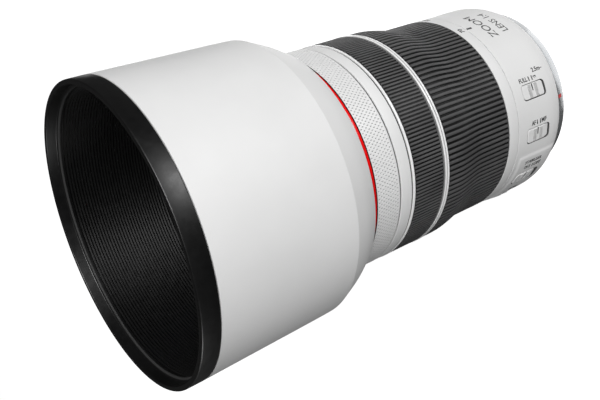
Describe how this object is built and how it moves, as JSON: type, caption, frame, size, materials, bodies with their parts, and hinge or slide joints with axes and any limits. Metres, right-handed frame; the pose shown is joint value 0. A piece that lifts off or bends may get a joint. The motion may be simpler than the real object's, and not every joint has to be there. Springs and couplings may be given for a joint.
{
  "type": "telephoto zoom lens with hood",
  "caption": "White telephoto zoom lens with ribbed rubber zoom and focus rings, a knurled control ring, sliding switches, a bayonet mount and a large round lens hood fitted.",
  "frame": {"origin": "centre of the bayonet's rear end, where the optical axis meets the surface that the lens stands on", "axes": "+Z along the optical axis, from the mount to the hood's mouth; +Y to the top of the barrel with the focal-length index; +X to the side with the switches"},
  "size_m": [0.1054, 0.1054, 0.19],
  "materials": {
    "white_paint": "smooth off-white satin paint",
    "grey_ring": "satin dark grey paint",
    "black_rubber": "matte ribbed rubber",
    "black_plastic": "satin black moulded plastic",
    "knurled_grey": "off-white diamond knurl",
    "bright_trim": "polished thin trim",
    "red_band": "gloss red enamel",
    "mount_chrome": "satin chrome on brass",
    "steel": "bright steel",
    "gold_contact": "gold plated",
    "aluminium": "satin anodised",
    "board": "green circuit laminate",
    "lens_glass": "coated optical glass"
  },
  "bodies": {
    "barrel": {"rear_barrel": "white_paint", "bayonet_mount": "mount_chrome", "mount_screw_1": "steel", "mount_screw_2": "steel", "mount_screw_3": "steel", "mount_screw_4": "steel", "mount_cover_ring": "grey_ring", "mount_seal": "black_rubber", "contact_block": "black_plastic", "contact_strip": "gold_contact", "rear_cell": "black_plastic", "rear_element": "lens_glass", "circuit_board": "board", "focus_motor": "black_plastic", "focus_rod_1": "steel", "focus_rod_2": "steel", "guide_barrel": "aluminium", "mid_band": "white_paint", "focus_trim_ring": "bright_trim", "divider_ring": "bright_trim", "iris_housing": "black_plastic"},
    "zoom_ring": {"zoom_ring": "white_paint", "zoom_grip": "black_rubber", "zoom_key": "steel", "cam_barrel": "aluminium"},
    "focus_ring": {"focus_ring": "aluminium", "focus_grip": "black_rubber"},
    "control_ring": {"control_ring": "knurled_grey"},
    "front_barrel": {"front_barrel": "white_paint", "red_band": "red_band", "filter_ring": "black_plastic", "name_ring": "black_plastic", "front_cell": "black_plastic", "front_element": "lens_glass"},
    "variator": {"variator_cell": "black_plastic", "variator_element": "lens_glass"},
    "stabiliser_frame": {"stabiliser_frame": "aluminium"},
    "stabiliser_carriage": {"stabiliser_carriage": "black_plastic", "stabiliser_element": "lens_glass"},
    "iris_ring": {"iris_ring": "black_plastic"},
    "focus_group": {"focus_cell": "black_plastic", "focus_element": "lens_glass"},
    "focus_limiter_knob": {"focus_limiter_knob": "white_paint"},
    "af_mf_knob": {"af_mf_knob": "white_paint"},
    "stabiliser_knob": {"stabiliser_knob": "white_paint"},
    "stabiliser_mode_knob": {"stabiliser_mode_knob": "white_paint"},
    "zoom_lock_knob": {"zoom_lock_knob": "white_paint"},
    "hood": {"hood_shell": "white_paint", "hood_liner": "black_plastic"},
    "hood_lock_button": {"hood_lock_button": "white_paint"},
    "iris_blade_1": {"iris_blade_1": "steel"},
    "iris_blade_2": {"iris_blade_2": "steel"},
    "iris_blade_3": {"iris_blade_3": "steel"},
    "iris_blade_4": {"iris_blade_4": "steel"},
    "iris_blade_5": {"iris_blade_5": "steel"},
    "iris_blade_6": {"iris_blade_6": "steel"},
    "iris_blade_7": {"iris_blade_7": "steel"},
    "iris_blade_8": {"iris_blade_8": "steel"},
    "iris_blade_9": {"iris_blade_9": "steel"}
  },
  "joints": [
    {"name": "zoom_turn", "type": "hinge", "parent": "barrel", "child": "zoom_ring", "pos_m": [0, 0, 0.06], "axis": [0, 0, -1], "range_deg": [0, 75]},
    {"name": "front_slide", "type": "slide", "parent": "barrel", "child": "front_barrel", "axis": [0, 0, 1], "range_m": [0, 0.0541]},
    {"name": "variator_slide", "type": "slide", "parent": "barrel", "child": "variator", "axis": [0, 0, 1], "range_m": [0, 0.0141]},
    {"name": "focus_turn", "type": "hinge", "parent": "barrel", "child": "focus_ring", "pos_m": [0, 0, 0.0894], "axis": [0, 0, -1], "continuous": true},
    {"name": "control_turn", "type": "hinge", "parent": "barrel", "child": "control_ring", "pos_m": [0, 0, 0.109], "axis": [0, 0, -1], "continuous": true},
    {"name": "focus_slide", "type": "slide", "parent": "barrel", "child": "focus_group", "axis": [0, 0, 1], "range_m": [0, 0.012]},
    {"name": "stabiliser_across", "type": "slide", "parent": "barrel", "child": "stabiliser_frame", "axis": [1, 0, 0], "range_m": [-0.001, 0.001]},
    {"name": "stabiliser_along", "type": "slide", "parent": "stabiliser_frame", "child": "stabiliser_carriage", "axis": [0, 1, 0], "range_m": [-0.001, 0.001]},
    {"name": "iris_turn", "type": "hinge", "parent": "barrel", "child": "iris_ring", "pos_m": [0, 0, 0.0667], "axis": [0, 0, 1], "range_deg": [0, 45]},
    {"name": "focus_limiter_slide", "type": "slide", "parent": "barrel", "child": "focus_limiter_knob", "axis": [0, 0, -1], "range_m": [0, 0.0018]},
    {"name": "af_mf_slide", "type": "slide", "parent": "barrel", "child": "af_mf_knob", "axis": [0, 0, -1], "range_m": [0, 0.0018]},
    {"name": "stabiliser_switch_slide", "type": "slide", "parent": "barrel", "child": "stabiliser_knob", "axis": [0, 0, -1], "range_m": [0, 0.0018]},
    {"name": "stabiliser_mode_slide", "type": "slide", "parent": "barrel", "child": "stabiliser_mode_knob", "axis": [0, 0, -1], "range_m": [0, 0.0018]},
    {"name": "zoom_lock_slide", "type": "slide", "parent": "barrel", "child": "zoom_lock_knob", "axis": [0, 0, -1], "range_m": [0, 0.0018]},
    {"name": "hood_twist", "type": "hinge", "parent": "front_barrel", "child": "hood", "pos_m": [0, 0, 0.1185], "axis": [0, 0, 1], "range_deg": [0, 60]},
    {"name": "hood_button_press", "type": "slide", "parent": "hood", "child": "hood_lock_button", "axis": [0.5, 0.866, 0], "range_m": [0, 0.0012], "stiffness_N_per_m": 300, "springref_m": -0.001},
    {"name": "iris_blade_1_turn", "type": "hinge", "parent": "barrel", "child": "iris_blade_1", "pos_m": [0.0235, 0, 0.0603], "axis": [0, 0, 1], "range_deg": [0, 30.1]},
    {"name": "iris_blade_2_turn", "type": "hinge", "parent": "barrel", "child": "iris_blade_2", "pos_m": [0.018, 0.01511, 0.0609], "axis": [0, 0, 1], "range_deg": [0, 30.1]},
    {"name": "iris_blade_3_turn", "type": "hinge", "parent": "barrel", "child": "iris_blade_3", "pos_m": [0.00408, 0.02314, 0.0615], "axis": [0, 0, 1], "range_deg": [0, 30.1]},
    {"name": "iris_blade_4_turn", "type": "hinge", "parent": "barrel", "child": "iris_blade_4", "pos_m": [-0.01175, 0.02035, 0.0621], "axis": [0, 0, 1], "range_deg": [0, 30.1]},
    {"name": "iris_blade_5_turn", "type": "hinge", "parent": "barrel", "child": "iris_blade_5", "pos_m": [-0.02208, 0.00804, 0.0627], "axis": [0, 0, 1], "range_deg": [0, 30.1]},
    {"name": "iris_blade_6_turn", "type": "hinge", "parent": "barrel", "child": "iris_blade_6", "pos_m": [-0.02208, -0.00804, 0.0633], "axis": [0, 0, 1], "range_deg": [0, 30.1]},
    {"name": "iris_blade_7_turn", "type": "hinge", "parent": "barrel", "child": "iris_blade_7", "pos_m": [-0.01175, -0.02035, 0.0639], "axis": [0, 0, 1], "range_deg": [0, 30.1]},
    {"name": "iris_blade_8_turn", "type": "hinge", "parent": "barrel", "child": "iris_blade_8", "pos_m": [0.00408, -0.02314, 0.0645], "axis": [0, 0, 1], "range_deg": [0, 30.1]},
    {"name": "iris_blade_9_turn", "type": "hinge", "parent": "barrel", "child": "iris_blade_9", "pos_m": [0.018, -0.01511, 0.0651], "axis": [0, 0, 1], "range_deg": [0, 30.1]}
  ],
  "couplings": [
    {"joint": "front_slide", "follows": "zoom_turn", "m_per_rad": 0.041253},
    {"joint": "variator_slide", "follows": "zoom_turn", "m_per_rad": 0.010695},
    {"joint": "iris_blade_1_turn", "follows": "iris_turn", "ratio": 0.6666},
    {"joint": "iris_blade_2_turn", "follows": "iris_turn", "ratio": 0.6666},
    {"joint": "iris_blade_3_turn", "follows": "iris_turn", "ratio": 0.6666},
    {"joint": "iris_blade_4_turn", "follows": "iris_turn", "ratio": 0.6666},
    {"joint": "iris_blade_5_turn", "follows": "iris_turn", "ratio": 0.6666},
    {"joint": "iris_blade_6_turn", "follows": "iris_turn", "ratio": 0.6666},
    {"joint": "iris_blade_7_turn", "follows": "iris_turn", "ratio": 0.6666},
    {"joint": "iris_blade_8_turn", "follows": "iris_turn", "ratio": 0.6666},
    {"joint": "iris_blade_9_turn", "follows": "iris_turn", "ratio": 0.6666}
  ]
}
